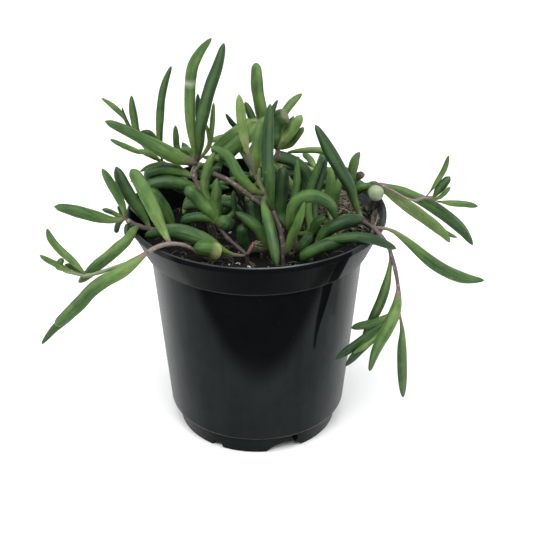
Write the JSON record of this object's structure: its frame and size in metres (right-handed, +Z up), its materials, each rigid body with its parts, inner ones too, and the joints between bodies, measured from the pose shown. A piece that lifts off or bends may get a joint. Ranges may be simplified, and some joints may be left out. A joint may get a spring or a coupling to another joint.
{
  "type": "potted string of bananas",
  "caption": "Trailing succulent with slim banana-shaped leaves on thin stems, rooted in soil in a round plastic nursery pot with a flared collar.",
  "frame": {"origin": "centre of the flat pad under the pot, on the plane that the pot stands on", "axes": "+Z up, +X to the right across the plant's longest spread, -Y towards the front of the plant"},
  "size_m": [0.1675, 0.1024, 0.1636],
  "materials": {
    "pot_plastic": "black semi-gloss plastic",
    "soil": "dark peat with fibres and white grit",
    "leaf": "fleshy green leaf with a soft shine"
  },
  "bodies": {
    "root": {"pot": "pot_plastic", "soil": "soil", "shoot_middle": "leaf", "shoot_tall": "leaf", "shoot_left_rim": "leaf", "shoot_left_long": "leaf", "shoot_front": "leaf", "shoot_low": "leaf", "shoot_right_inner": "leaf", "shoot_right_front": "leaf", "shoot_right_trailing": "leaf", "shoot_right_rim": "leaf", "shoot_back_right": "leaf", "shoot_back_1": "leaf", "shoot_back_2": "leaf", "shoot_back_3": "leaf", "shoot_back_4": "leaf", "shoot_back_5": "leaf", "shoot_back_6": "leaf", "shoot_back_7": "leaf"}
  },
  "joints": []
}
